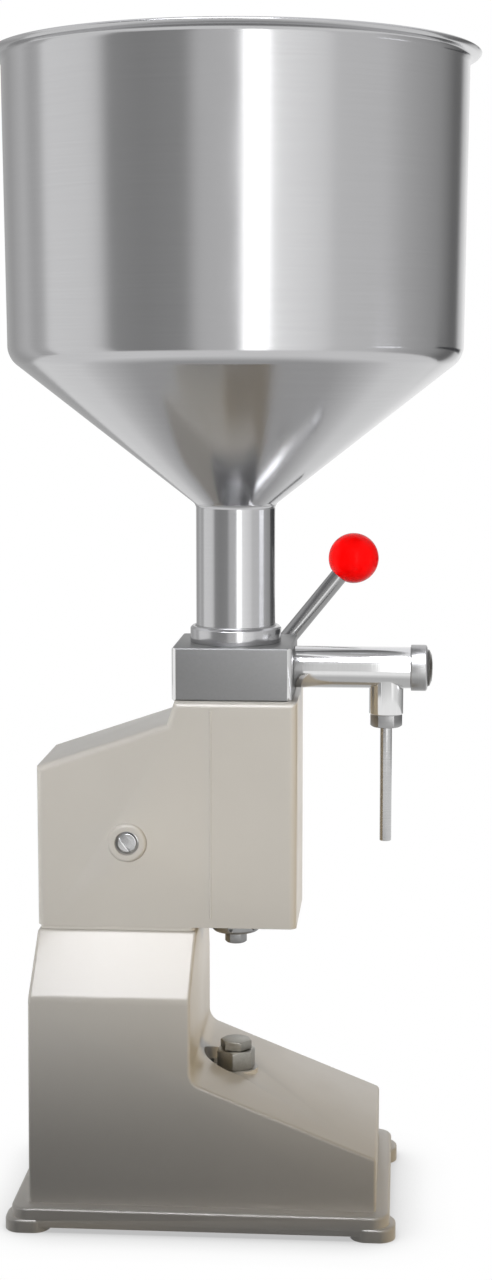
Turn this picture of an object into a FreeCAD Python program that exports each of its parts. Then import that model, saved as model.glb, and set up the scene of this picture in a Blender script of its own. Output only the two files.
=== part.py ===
import FreeCAD, Part
import math
import os

# Hand-lever donut filler. A round hopper with a cone stands on a square valve block.
# The block is bolted to a cast head, which stands on a cast column with a sloping foot.
# The lever turns a shaft in the head. A forked crank on the shaft moves a piston up and down
# under the block. The piston draws filling through the inlet valve as it goes down and
# pushes it through the outlet valve, along the arm and down the nozzle as it comes up.
#
# Frame: millimetres, +Z up, floor at Z = 0. The Z axis is the axis of piston and hopper,
# X points to the nozzle, and the lever is on the +Y side.

V = FreeCAD.Vector
ORIGIN = V(0, 0, 0)
X_AXIS = V(1, 0, 0)
Y_AXIS = V(0, 1, 0)
Z_AXIS = V(0, 0, 1)
FULL_TURN = 360.0

# Fits and allowances
running_gap = 0.05        # radial clearance of a shaft, rod or piston in its bore
seating_gap = 0.05        # radial clearance of a piece that stays put in its hole
side_gap = 0.3            # clearance beside loosely guided pieces
valve_gap = 0.05          # a closed valve stands this far off its seat
overrun = 4.0             # how far a cutting tool passes the faces that it cuts

# Base casting, lengths along X measured from the piston axis
foot_height = 3.7
foot_thickness = 9.0
foot_overhang = 4.0
foot_side_overhang = 1.0
foot_length = 30.0
foot_round = 11.0
plate_thickness = 12.8
plate_rear = 144.0
plate_front = 107.0
plate_width = 170.0
plate_round = 12.0
base_width = 148.0
base_rear = 133.0
base_front = 98.0
base_front_height = 52.0
slope_height = 101.0
slope_fillet = 9.0
column_front = 24.7
shoulder_height = 156.0
shoulder_rear = 131.8
neck_front = 22.9
column_height = 198.0
seam_height = 2.5
seam_inset = 1.5
base_wall = 8.0
base_round = 4.0

# Stop bolt that limits the stroke, on the piston axis
stop_thread = 12.0
stop_flats = 19.0
stop_head_height = 6.0
stop_head_angle = 52.0
stop_head_lift = 0.5
stop_bolt_length = 60.0
lock_nut_flats = 24.0
lock_nut_height = 13.0
lock_nut_angle = 25.0
spot_diameter = 44.0
spot_level = 89.0
stop_boss_diameter = 30.0
stop_boss_depth = 36.0

# Head casting
head_width = 88.0
head_rear = 129.5
head_front = 43.5
head_height = 152.0
head_rear_height = 107.3
head_slope_front = 42.6
head_slope_height = 136.6
head_land_rear = 37.5
head_wall = 8.0
head_top_thickness = 12.0
head_round = 5.0
window_front = 48.0
window_rear = 102.0
window_width = 60.0

# Hexagon bolts that hold the head on the column and the valve block on the head
bolt_flats = 13.0
bolt_head_height = 5.5
head_bolt_front = 38.0
head_bolt_rear = 111.0
head_bolt_spread = 54.0
block_bolt_spread = 54.0

# Pivot of the lever shaft
pivot_back = 68.9
pivot_rise = 57.2
pivot_boss_diameter = 26.0
pivot_boss_proud = 3.5
inner_boss_diameter = 30.0
shaft_diameter = 16.0
shaft_end_recess = 1.5
shaft_slot_width = 3.2
shaft_slot_depth = 2.2
shaft_slot_turn = 45.0
shaft_stud_diameter = 12.0
shaft_stud_back = 0.5
shaft_nut_flats = 19.0
shaft_nut_height = 8.0

# Cylinder and piston
bore_diameter = 40.0
stroke = 40.0
cylinder_wall = 5.0
cylinder_length = 64.0
piston_stack_drop = 4.0
piston_thickness = 12.5
piston_nut_flats = 19.0
piston_nut_height = 6.5

# Piston rod, its guide and its ends
rod_diameter = 16.0
rod_neck_diameter = 12.0
rod_stud_diameter = 8.0
rod_nut_flats = 13.0
rod_nut_height = 8.2
rod_stop_gap = 0.3
gland_diameter = 33.0
gland_length = 12.0
gland_chamfer = 1.5

# Crosshead and crank
crosshead_width = 26.0
crosshead_height = 18.0
trunnion_diameter = 8.0
trunnion_proud = 1.2
fork_thickness = 6.0
fork_wall = 5.5
fork_tip = 1.2
fork_throat = 40.0
slot_gap = 0.3
crank_hub_diameter = 34.0
key_width = 5.0
key_height = 5.0
key_length = 25.0
key_in_shaft = 3.0
linkage_share = 1.02      # travel of the pin for each radian, as a share of pivot_back

# Hand lever
lever_angle = 51.0
lever_length = 232.5
lever_rod_diameter = 12.0
lever_stud_diameter = 10.0
lever_stud_length = 20.0
lever_hub_gap = 0.5
lever_hub_diameter = 30.0
lever_hub_width = 29.0
lever_boss_diameter = 19.0
lever_boss_reach = 27.0
ball_diameter = 35.0
ball_flat = 16.0
ball_sides = 24
ball_bands = 12

# Valve block
block_size = 79.0
block_height = 35.0
block_chamfer = 0.8
chamber_height = 23.0
seat_web = 4.0
seat_hole = 24.0
bridge_length = 46.0
bridge_width = 9.0
bridge_thickness = 2.5
port_diameter = 10.0

# Inlet valve
inlet_head_diameter = 30.0
inlet_head_thickness = 4.0
inlet_stem_diameter = 6.0
inlet_stem_proud = 1.1
inlet_spring_diameter = 12.0
inlet_spring_turns = 3.5
spring_wire = 1.2
spring_steps = 12

# Nozzle arm, outlet valve and nozzle
arm_rise = 18.0
arm_diameter = 28.0
arm_end = 117.8
arm_spigot_diameter = 22.0
arm_spigot_length = 10.0
arm_bore = 14.0
arm_valve_bore = 20.0
valve_position = 76.0
outlet_head_diameter = 17.0
outlet_head_thickness = 4.0
outlet_stem_diameter = 5.0
outlet_stem_length = 32.0
outlet_spring_diameter = 11.0
outlet_spring_turns = 4.5
cap_diameter = 31.0
cap_length = 10.2
cap_dome = 4.3
cap_dome_shares = [(0.99, 0), (0.74, 0.7), (0.3, 1)]  # diameter and height of its rings
cap_sides = 32
cap_spigot_length = 7.8
cap_guide_depth = 10.0
nozzle_position = 101.5
tee_diameter = 23.0
tee_drop = 31.3
tee_bore = 6.5
nozzle_nut_flats = 18.6
nozzle_nut_height = 8.7
nozzle_socket_depth = 10.0
nozzle_diameter = 8.0
nozzle_wall = 0.75
nozzle_drop = 78.0

# Hopper
rim_diameter = 320.0
rim_bead = 2.5
rim_flare = 4.0
bowl_diameter = 302.6
bowl_depth = 196.0
cone_height = 97.0
hopper_wall = 1.5
hopper_sides = 72
hopper_tube_diameter = 53.0
hopper_tube_length = 81.0
collar_diameter = 61.0
collar_chamfer = 1.5
collar_height = 11.0
collar_bore = 32.0
hopper_spigot_diameter = 40.0
hopper_socket_depth = 8.0

# Levels above the floor
plate_top = foot_height + plate_thickness
neck_top = column_height - seam_height
head_base = column_height
head_floor = head_base + head_wall
head_top = head_base + head_height
head_ceiling = head_top - head_top_thickness
block_top = head_top + block_height
collar_top = block_top + collar_height
tube_top = collar_top + hopper_tube_length
cone_top = tube_top + cone_height
rim_top = cone_top + bowl_depth
pivot_level = head_base + pivot_rise
arm_level = head_top + arm_rise
bridge_top = head_top + bridge_thickness
web_bottom = head_top + chamber_height
socket_bottom = block_top - hopper_socket_depth
inlet_back = web_bottom - valve_gap - inlet_head_thickness
nut_level = head_top - piston_stack_drop - piston_nut_height
piston_bottom = nut_level - piston_thickness
pin_level = pivot_level + stroke / 2
gland_bottom = head_base - gland_length
rod_bottom = gland_bottom - rod_stop_gap
tee_bottom = arm_level - tee_drop
nozzle_top = tee_bottom + nozzle_socket_depth
nozzle_nut_bottom = tee_bottom - nozzle_nut_height

# Places along the other axes
arm_turn = math.degrees(stroke / 2 / (linkage_share * pivot_back))
crank_reach = math.hypot(pivot_back, stroke / 2)
fork_inner = crosshead_width / 2 + side_gap
fork_outer = fork_inner + fork_thickness
inner_face = fork_outer + side_gap
boss_face = head_width / 2 + pivot_boss_proud
lever_hub_near = boss_face + lever_hub_gap
lever_offset = lever_hub_near + lever_hub_width / 2
lever_hub_far = lever_hub_near + lever_hub_width
outlet_back = valve_position + valve_gap + outlet_head_thickness
cap_spigot_start = arm_end - cap_spigot_length
PIVOT = V(-pivot_back, 0, pivot_level)
LEVER_CENTRE = PIVOT + Y_AXIS * lever_offset
LEVER_WAY = V(math.cos(math.radians(lever_angle)), 0, math.sin(math.radians(lever_angle)))


def box(x0, x1, y0, y1, z0, z1):
    """Box between two opposite corners."""
    return Part.makeBox(x1 - x0, y1 - y0, z1 - z0, V(x0, y0, z0))


def bar(diameter, start, end):
    """Round bar between two points."""
    return Part.makeCylinder(diameter / 2, (end - start).Length, start, end - start)


def post(diameter, z0, z1, x=0.0, y=0.0):
    """Upright round bar."""
    return bar(diameter, V(x, y, z0), V(x, y, z1))


def turned(profile, foot=ORIGIN, direction=Z_AXIS):
    """Turned piece: (diameter, distance) pairs about an axis from foot along direction."""
    points = [V(diameter / 2, 0, distance) for diameter, distance in profile]
    face = Part.Face(Part.makePolygon(points + points[:1]))
    solid = face.revolve(ORIGIN, Z_AXIS, FULL_TURN)
    solid.Placement = FreeCAD.Placement(foot, FreeCAD.Rotation(Z_AXIS, direction))
    return solid


def sleeve(outer, inner, z0, z1, foot=ORIGIN, direction=Z_AXIS):
    """Ring or tube with a square section."""
    return turned([(inner, z0), (outer, z0), (outer, z1), (inner, z1)], foot, direction)


def hexagon(flats, z0, z1, x=0.0, y=0.0, turn=0.0):
    """Upright six-sided bar, measured across its flats."""
    radius = flats / math.sqrt(3)
    angles = [math.radians(turn + FULL_TURN * i / 6) for i in range(6)]
    points = [V(x + radius * math.cos(a), y + radius * math.sin(a), z0) for a in angles]
    return Part.Face(Part.makePolygon(points + points[:1])).extrude(V(0, 0, z1 - z0))


def solid_of(faces):
    """Solid closed by flat faces."""
    solid = Part.Solid(Part.Shell(faces))
    if solid.Volume < 0:
        solid.reverse()
    return solid


def flat_face(*corners):
    """Flat face through its corners."""
    return Part.Face(Part.makePolygon(list(corners) + [corners[0]]))


def faceted(profile, sides):
    """Solid of flat facets through rings, given as (diameter, height) pairs."""
    turns = [math.radians(FULL_TURN * i / sides) for i in range(sides)]
    rings = [[V(d / 2 * math.cos(a), d / 2 * math.sin(a), z) for a in turns] for d, z in profile]
    faces = [flat_face(*rings[0]), flat_face(*rings[-1])]
    for low, high in zip(rings, rings[1:]):
        for i in range(sides):
            faces.append(flat_face(low[i - 1], low[i], high[i], high[i - 1]))
    return solid_of(faces)


def coil(diameter, wire, length, turns, foot, direction):
    """Compression spring of square wire, wound in short straight steps."""
    count = round(turns * spring_steps)
    sections = []
    for i in range(count + 1):
        angle = math.radians(FULL_TURN * i / spring_steps)
        outward = V(math.cos(angle), math.sin(angle), 0)
        middle = outward * ((diameter - wire) / 2) + Z_AXIS * (wire / 2 + (length - wire) * i / count)
        sections.append([middle + outward * (a * wire / 2) + Z_AXIS * (b * wire / 2)
                         for a, b in ((-1, -1), (1, -1), (1, 1), (-1, 1))])
    faces = [flat_face(*sections[0]), flat_face(*sections[-1])]
    for low, high in zip(sections, sections[1:]):
        for i in range(4):
            faces.append(flat_face(low[i - 1], low[i], high[i]))
            faces.append(flat_face(low[i - 1], high[i], high[i - 1]))
    solid = solid_of(faces)
    solid.Placement = FreeCAD.Placement(foot, FreeCAD.Rotation(Z_AXIS, direction))
    return solid


def outline(corners, place):
    """Closed wire through (u, v, radius) corners; place turns a point (u, v) into space."""
    count = len(corners)
    bends = []
    for i in range(count):
        here = V(corners[i][0], corners[i][1], 0)
        radius = corners[i][2]
        if radius == 0:
            bends.append((here, here, here))
            continue
        back = V(corners[i - 1][0], corners[i - 1][1], 0) - here
        ahead = V(corners[(i + 1) % count][0], corners[(i + 1) % count][1], 0) - here
        half_angle = back.getAngle(ahead) / 2
        back.normalize()
        ahead.normalize()
        reach = radius / math.tan(half_angle)
        inward = (back + ahead).normalize()
        middle = here + inward * (radius / math.sin(half_angle) - radius)
        bends.append((here + back * reach, middle, here + ahead * reach))
    edges = []
    for i in range(count):
        start, middle, end = bends[i]
        if corners[i][2] != 0:
            edges.append(Part.Arc(place(start), place(middle), place(end)).toShape())
        edges.append(Part.makeLine(place(end), place(bends[(i + 1) % count][0])))
    return Part.Wire(edges)


def side_prism(corners, half_width):
    """Outline in the XZ plane, extruded across Y to both sides."""
    wire = outline(corners, lambda p: V(p.x, -half_width, p.y))
    return Part.Face(wire).extrude(V(0, 2 * half_width, 0))


def front_prism(corners, x0, x1):
    """Outline in the YZ plane, extruded along X."""
    wire = outline(corners, lambda p: V(x0, p.x, p.y))
    return Part.Face(wire).extrude(V(x1 - x0, 0, 0))


def plan_prism(x0, x1, half_width, radius, z0, z1):
    """Upright prism on a rectangle with round corners."""
    corners = [(x0, -half_width, radius), (x1, -half_width, radius),
               (x1, half_width, radius), (x0, half_width, radius)]
    wire = outline(corners, lambda p: V(p.x, p.y, z0))
    return Part.Face(wire).extrude(V(0, 0, z1 - z0))


def side_edges(solid, half_width, bottom):
    """Edges that bound the two flat sides of a casting, all but those at the bottom level."""
    chosen = []
    for edge in solid.Edges:
        bounds = edge.BoundBox
        on_side = min(abs(bounds.YMin - half_width), abs(bounds.YMax + half_width)) < side_gap
        across = bounds.YLength > side_gap
        low = bounds.ZMax < bottom + side_gap
        if on_side and not across and not low:
            chosen.append(edge)
    return chosen


def to_crank(solid):
    """Turn a piece drawn with a level crank to the crank's angle at rest."""
    solid.rotate(PIVOT, Y_AXIS, -arm_turn)
    return solid


# Base casting: plate, four feet, hollow body with a sloping front, tapered neck


def base_slope(x):
    """Height of the sloping top at a place along X."""
    fall = (slope_height - base_front_height) / (base_front + column_front)
    return slope_height - (x + column_front) * fall


def tapered_neck(inset, bottom, top):
    """Neck between the shoulder and the head, all its walls moved in by inset."""
    half = base_width / 2 - inset
    top_half = head_width / 2 - inset
    side = side_prism([
        (-shoulder_rear + inset, bottom, 0), (-column_front - inset, bottom, 0),
        (-neck_front - inset, top, 0), (-head_rear + inset, top, 0)], half)
    front = front_prism([(-half, bottom, 0), (half, bottom, 0), (top_half, top, 0),
                         (-top_half, top, 0)], -base_rear, 0)
    return side.common(front)


def make_base_casting():
    half = base_width / 2
    body = side_prism([
        (-base_rear, foot_height, 0), (base_front, foot_height, 0),
        (base_front, base_front_height, 0), (-column_front, slope_height, slope_fillet),
        (-column_front, shoulder_height, 0), (-shoulder_rear, shoulder_height, 0)], half)
    joint_face = plan_prism(-head_rear + seam_inset, -neck_front - seam_inset,
                            head_width / 2 - seam_inset, base_round, neck_top, column_height)
    plate = plan_prism(-plate_rear, plate_front, plate_width / 2, plate_round,
                       foot_height, plate_top)
    solid = body.fuse([tapered_neck(0, shoulder_height, neck_top), joint_face, plate])
    rear = -plate_rear - foot_overhang
    front = plate_front + foot_overhang
    for start in (rear, front - foot_length):
        for side in (-1, 1):
            foot = plan_prism(start, start + foot_length, foot_length / 2, foot_round,
                              0, foot_thickness)
            middle = (plate_width - foot_length) / 2 + foot_side_overhang
            foot.translate(Y_AXIS * (side * middle))
            solid = solid.fuse(foot)
    angle = math.atan2(slope_height - base_front_height, base_front + column_front)
    roof = base_wall / math.cos(angle)
    inner_front = base_front - base_wall
    inner_column = -column_front - base_wall
    cavity_top = shoulder_height - base_wall
    cavity = side_prism([
        (-base_rear + base_wall, -overrun, 0), (inner_front, -overrun, 0),
        (inner_front, base_slope(inner_front) - roof, 0),
        (inner_column, base_slope(inner_column) - roof, 0),
        (inner_column, cavity_top, 0), (-shoulder_rear + base_wall, cavity_top, 0)],
        half - base_wall)
    neck_cavity = tapered_neck(base_wall, cavity_top, neck_top - base_wall)
    window = plan_prism(-window_rear, -window_front, window_width / 2, base_round,
                        neck_top - base_wall - overrun, column_height + overrun)
    solid = solid.cut([cavity, neck_cavity, window])
    boss = post(stop_boss_diameter, spot_level - stop_boss_depth, spot_level)
    spot = post(spot_diameter, spot_level, slope_height + overrun)
    thread = post(stop_thread + 2 * running_gap, spot_level - stop_boss_depth - overrun,
                  spot_level + overrun)
    heads = [hexagon(bolt_flats, neck_top - base_wall - bolt_head_height, neck_top - base_wall, x, y)
             for x, y in head_bolt_places()]
    return solid.fuse(boss).cut([spot, thread]).fuse(heads).removeSplitter()


def head_bolt_places():
    """Places of the four bolts that come up through the column into the head."""
    spread = head_bolt_spread / 2
    return [(-x, y) for x in (head_bolt_front, head_bolt_rear) for y in (-spread, spread)]


def make_stop_lock_nut():
    nut = hexagon(lock_nut_flats, spot_level, spot_level + lock_nut_height, 0, 0,
                  lock_nut_angle)
    return nut.cut(post(stop_thread + 2 * running_gap, spot_level - overrun,
                        spot_level + lock_nut_height + overrun))


def make_stop_bolt():
    level = spot_level + lock_nut_height + stop_head_lift
    head = hexagon(stop_flats, level, level + stop_head_height, 0, 0, stop_head_angle)
    return head.fuse(post(stop_thread, level - stop_bolt_length, level))


# Head casting: hollow box with a sloping rear roof, pivot bosses and a flat top for the block


def make_head_casting():
    half = head_width / 2
    body = side_prism([
        (-head_rear, head_base, 0), (head_front, head_base, 0), (head_front, head_top, 0),
        (-head_land_rear, head_top, 0), (-head_slope_front, head_base + head_slope_height, 0),
        (-head_rear, head_base + head_rear_height, 0)], half)
    body = body.makeFillet(head_round, side_edges(body, half, head_base))
    slope = (head_slope_height - head_rear_height) / (head_rear - head_slope_front)
    roof = head_wall * math.hypot(1, slope)
    inner_step = -head_slope_front + head_wall
    inner_rear = -head_rear + head_wall

    def under_roof(x):
        return head_base + head_rear_height + (x + head_rear) * slope - roof

    cavity = side_prism([
        (inner_rear, head_floor, 0), (head_front - head_wall, head_floor, 0),
        (head_front - head_wall, head_ceiling, 0), (inner_step, head_ceiling, 0),
        (inner_step, under_roof(inner_step), 0), (inner_rear, under_roof(inner_rear), 0)],
        half - head_wall)
    window = plan_prism(-window_rear, -window_front, window_width / 2, base_round,
                        head_base - overrun, head_floor + overrun)
    additions = []
    for side in (-1, 1):
        root = PIVOT + Y_AXIS * (side * (half - head_wall / 2))
        additions.append(bar(pivot_boss_diameter, root, PIVOT + Y_AXIS * (side * boss_face)))
        additions.append(bar(inner_boss_diameter, root, PIVOT + Y_AXIS * (side * inner_face)))
    for x in (-block_bolt_spread / 2, block_bolt_spread / 2):
        for y in (-block_bolt_spread / 2, block_bolt_spread / 2):
            additions.append(hexagon(bolt_flats, head_ceiling - bolt_head_height,
                                     head_ceiling, x, y))
    shaft_hole = shaft_diameter + 2 * running_gap
    cylinder_hole = bore_diameter + 2 * cylinder_wall + 2 * seating_gap
    guide_hole = rod_diameter + 2 * running_gap
    return body.cut([cavity, window]).fuse(additions).cut([
        bar(shaft_hole, PIVOT - Y_AXIS * (boss_face + overrun),
            PIVOT + Y_AXIS * (boss_face + overrun)),
        post(cylinder_hole, head_ceiling - overrun, head_top + overrun),
        post(guide_hole, head_base - overrun, head_floor + overrun)]).removeSplitter()


def make_cylinder():
    return sleeve(bore_diameter + 2 * cylinder_wall, bore_diameter, head_top - cylinder_length,
                  head_top)


def make_guide_gland():
    bore = rod_diameter + 2 * running_gap
    return turned([
        (bore, gland_bottom), (gland_diameter - 2 * gland_chamfer, gland_bottom),
        (gland_diameter, gland_bottom + gland_chamfer), (gland_diameter, head_base),
        (bore, head_base)])


# Valve block with the inlet valve


def make_valve_block():
    half = block_size / 2
    solid = box(-half, half, -half, half, head_top, block_top)
    solid = solid.makeChamfer(block_chamfer, solid.Edges)
    slot_half = bridge_width / 2 + seating_gap
    slot_end = bridge_length / 2 + seating_gap
    return solid.cut([
        post(bore_diameter, head_top - overrun, web_bottom),
        box(-slot_half, slot_half, -slot_end, slot_end, head_top - overrun, bridge_top),
        post(seat_hole, web_bottom - overrun, socket_bottom + overrun),
        post(hopper_spigot_diameter + 2 * running_gap, socket_bottom, block_top + overrun),
        bar(port_diameter, V(0, 0, arm_level), V(half, 0, arm_level)),
        bar(arm_spigot_diameter + 2 * seating_gap, V(half - arm_spigot_length, 0, arm_level),
            V(half + overrun, 0, arm_level))])


def make_inlet_bridge():
    bridge = box(-bridge_width / 2, bridge_width / 2, -bridge_length / 2, bridge_length / 2,
                 head_top, bridge_top)
    return bridge.cut(post(inlet_stem_diameter + 2 * running_gap, head_top - overrun,
                           bridge_top + overrun))


def make_inlet_poppet():
    bottom = head_top + inlet_stem_proud
    return turned([
        (0, bottom), (inlet_stem_diameter, bottom), (inlet_stem_diameter, inlet_back),
        (inlet_head_diameter, inlet_back),
        (inlet_head_diameter, inlet_back + inlet_head_thickness),
        (0, inlet_back + inlet_head_thickness)])


def make_inlet_spring():
    return coil(inlet_spring_diameter, spring_wire, inlet_back - bridge_top,
                inlet_spring_turns, V(0, 0, bridge_top), Z_AXIS)


# Nozzle arm with the outlet valve, cap and nozzle


def arm_axis(x):
    """Point on the axis of the nozzle arm."""
    return V(x, 0, arm_level)


def make_nozzle_arm():
    face = block_size / 2
    solid = turned([
        (0, face - arm_spigot_length), (arm_spigot_diameter, face - arm_spigot_length),
        (arm_spigot_diameter, face), (arm_diameter, face), (arm_diameter, arm_end),
        (0, arm_end)], arm_axis(0), X_AXIS)
    tee = post(tee_diameter, tee_bottom, arm_level, nozzle_position)
    return solid.fuse(tee).cut([
        bar(arm_bore, arm_axis(0), arm_axis(arm_end)),
        bar(arm_valve_bore, arm_axis(valve_position), arm_axis(arm_end + overrun)),
        post(tee_bore, tee_bottom, arm_level, nozzle_position),
        post(nozzle_diameter + 2 * seating_gap, tee_bottom - overrun, nozzle_top,
             nozzle_position)]).removeSplitter()


def make_outlet_poppet():
    front = outlet_back - outlet_head_thickness
    tip = outlet_back + outlet_stem_length
    return turned([
        (0, front), (outlet_head_diameter, front), (outlet_head_diameter, outlet_back),
        (outlet_stem_diameter, outlet_back), (outlet_stem_diameter, tip), (0, tip)],
        arm_axis(0), X_AXIS)


def make_outlet_spring():
    return coil(outlet_spring_diameter, spring_wire, cap_spigot_start - outlet_back,
                outlet_spring_turns, arm_axis(outlet_back), X_AXIS)


def make_arm_end_cap():
    spigot = arm_valve_bore - 2 * seating_gap
    face = arm_end + cap_length
    cap = turned([
        (0, cap_spigot_start), (spigot, cap_spigot_start), (spigot, arm_end),
        (cap_diameter, arm_end), (cap_diameter, face), (0, face)], arm_axis(0), X_AXIS)
    rings = [(cap_diameter * width, cap_dome * rise) for width, rise in cap_dome_shares]
    dome = faceted(rings, cap_sides)
    dome.Placement = FreeCAD.Placement(arm_axis(face), FreeCAD.Rotation(Z_AXIS, X_AXIS))
    return cap.fuse(dome).cut(bar(outlet_stem_diameter + 2 * running_gap,
                                  arm_axis(cap_spigot_start - overrun),
                                  arm_axis(cap_spigot_start + cap_guide_depth)))


def make_nozzle_nut():
    nut = hexagon(nozzle_nut_flats, nozzle_nut_bottom, tee_bottom, nozzle_position)
    return nut.cut(post(nozzle_diameter, nozzle_nut_bottom - overrun, tee_bottom + overrun,
                        nozzle_position))


def make_nozzle_tube():
    return sleeve(nozzle_diameter, nozzle_diameter - 2 * nozzle_wall,
                  nozzle_nut_bottom - nozzle_drop, nozzle_top, V(nozzle_position, 0, 0))


# Piston, rod and crosshead


def make_piston():
    return sleeve(bore_diameter - 2 * running_gap, rod_neck_diameter, piston_bottom, nut_level)


def make_piston_rod():
    top = nut_level + piston_nut_height
    return turned([
        (0, rod_bottom - rod_nut_height), (rod_stud_diameter, rod_bottom - rod_nut_height),
        (rod_stud_diameter, rod_bottom), (rod_diameter, rod_bottom),
        (rod_diameter, piston_bottom), (rod_neck_diameter, piston_bottom),
        (rod_neck_diameter, top), (0, top)])


def make_rod_nuts():
    upper = hexagon(piston_nut_flats, nut_level, nut_level + piston_nut_height)
    upper = upper.cut(post(rod_neck_diameter, nut_level - overrun,
                           nut_level + piston_nut_height + overrun))
    lower = hexagon(rod_nut_flats, rod_bottom - rod_nut_height, rod_bottom)
    lower = lower.cut(post(rod_stud_diameter, rod_bottom - rod_nut_height - overrun,
                           rod_bottom + overrun))
    return Part.makeCompound([upper, lower])


def make_crosshead():
    half = crosshead_width / 2
    half_height = crosshead_height / 2
    reach = fork_outer + trunnion_proud
    solid = box(-half, half, -half, half, pin_level - half_height, pin_level + half_height)
    trunnions = bar(trunnion_diameter, V(0, -reach, pin_level), V(0, reach, pin_level))
    return solid.fuse(trunnions).cut(post(rod_diameter, pin_level - crosshead_height,
                                          pin_level + crosshead_height))


# Lever shaft with the crank inside the head


def make_shaft_keys():
    bottom = pivot_level + shaft_diameter / 2 - key_in_shaft
    keys = []
    for middle in (0, lever_offset):
        key = box(-pivot_back - key_width / 2, -pivot_back + key_width / 2,
                  middle - key_length / 2, middle + key_length / 2, bottom, bottom + key_height)
        keys.append(to_crank(key))
    return Part.makeCompound(keys)


def make_pivot_shaft():
    near = shaft_end_recess - boss_face
    shoulder = lever_hub_far - shaft_stud_back
    solid = turned([
        (0, near), (shaft_diameter, near), (shaft_diameter, shoulder),
        (shaft_stud_diameter, shoulder), (shaft_stud_diameter, lever_hub_far + shaft_nut_height),
        (0, lever_hub_far + shaft_nut_height)], PIVOT, Y_AXIS)
    slot = box(-pivot_back - shaft_diameter, -pivot_back + shaft_diameter,
               near - overrun, near + shaft_slot_depth,
               pivot_level - shaft_slot_width / 2, pivot_level + shaft_slot_width / 2)
    slot.rotate(PIVOT, Y_AXIS, shaft_slot_turn)
    return solid.cut([slot, make_shaft_keys()])


def make_crank_arm():
    half_slot = trunnion_diameter / 2 + slot_gap
    half_height = half_slot + fork_wall
    tip = crank_reach + trunnion_diameter / 2 + fork_tip
    neck = crank_reach - crosshead_width / 2
    hub_radius = crank_hub_diameter / 2
    hub = bar(crank_hub_diameter, PIVOT - Y_AXIS * fork_outer, PIVOT + Y_AXIS * fork_outer)
    lean = math.atan2(hub_radius - half_height, neck)
    root_x = hub_radius * math.sin(lean)
    root_z = hub_radius * math.cos(lean)
    arm = side_prism([
        (root_x, -root_z, 0), (neck, -half_height, 0), (tip, -half_height, fork_wall),
        (tip, half_height, fork_wall), (neck, half_height, 0), (root_x, root_z, 0)], fork_outer)
    arm.translate(PIVOT)
    wide = fork_outer + overrun
    slot_start = PIVOT + X_AXIS * (pivot_back - slot_gap)
    cuts = [
        box(fork_throat - pivot_back, tip + overrun - pivot_back, -fork_inner, fork_inner,
            pivot_level - crank_hub_diameter, pivot_level + crank_hub_diameter),
        box(slot_start.x, tip + overrun - pivot_back, -wide, wide,
            pivot_level - half_slot, pivot_level + half_slot),
        bar(2 * half_slot, slot_start - Y_AXIS * wide, slot_start + Y_AXIS * wide),
        bar(shaft_diameter, PIVOT - Y_AXIS * wide, PIVOT + Y_AXIS * wide)]
    return to_crank(hub.fuse(arm).cut(cuts).removeSplitter()).cut(make_shaft_keys())


# Hand lever outside the head


def make_lever_arm():
    near = PIVOT + Y_AXIS * lever_hub_near
    far = PIVOT + Y_AXIS * lever_hub_far
    hub = bar(lever_hub_diameter, near, far)
    flat = lever_length - ball_flat
    rod = turned([
        (0, 0), (lever_boss_diameter, 0), (lever_boss_diameter, lever_boss_reach),
        (lever_rod_diameter, lever_boss_reach), (lever_rod_diameter, flat),
        (lever_stud_diameter, flat), (lever_stud_diameter, flat + lever_stud_length),
        (0, flat + lever_stud_length)], LEVER_CENTRE, LEVER_WAY)
    bore = bar(shaft_diameter, near - Y_AXIS * overrun, far + Y_AXIS * overrun)
    return hub.fuse(rod).cut([bore, make_shaft_keys()]).removeSplitter()


def make_shaft_nut():
    nut = hexagon(shaft_nut_flats, lever_hub_far, lever_hub_far + shaft_nut_height)
    nut = nut.cut(post(shaft_stud_diameter, lever_hub_far - overrun,
                       lever_hub_far + shaft_nut_height + overrun))
    nut.Placement = FreeCAD.Placement(PIVOT, FreeCAD.Rotation(Z_AXIS, Y_AXIS))
    return nut


def make_ball_knob():
    start = math.acos(ball_flat / (ball_diameter / 2))
    rings = []
    for i in range(ball_bands):
        angle = start + (math.pi - start) * i / ball_bands
        rings.append((ball_diameter * math.sin(angle), -ball_diameter / 2 * math.cos(angle)))
    ball = faceted(rings, ball_sides)
    hole = post(lever_stud_diameter, -ball_flat - overrun, lever_stud_length - ball_flat)
    ball = ball.cut(hole)
    ball.Placement = FreeCAD.Placement(LEVER_CENTRE + LEVER_WAY * lever_length,
                                       FreeCAD.Rotation(Z_AXIS, LEVER_WAY))
    return ball


# Hopper


def make_hopper_bowl():
    cone_length = math.hypot(bowl_diameter - hopper_tube_diameter, 2 * cone_height)
    across = hopper_wall * cone_length / cone_height
    wall = 2 * hopper_wall
    bead = rim_diameter - 2 * rim_bead
    bead_level = rim_top - rim_bead
    flare_level = bead_level - rim_flare
    outer = [(hopper_tube_diameter, tube_top), (bowl_diameter, cone_top),
             (bowl_diameter, flare_level),
             (bead, bead_level - rim_bead), (rim_diameter, bead_level), (bead, rim_top)]
    inner = [(hopper_tube_diameter - wall, tube_top - overrun),
             (hopper_tube_diameter - wall, tube_top + across / 2 - hopper_wall),
             (bowl_diameter - wall, cone_top + across / 2 - hopper_wall),
             (bowl_diameter - wall, flare_level), (bead, rim_top + overrun)]
    return faceted(outer, hopper_sides).cut(faceted(inner, hopper_sides)).removeSplitter()


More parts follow.
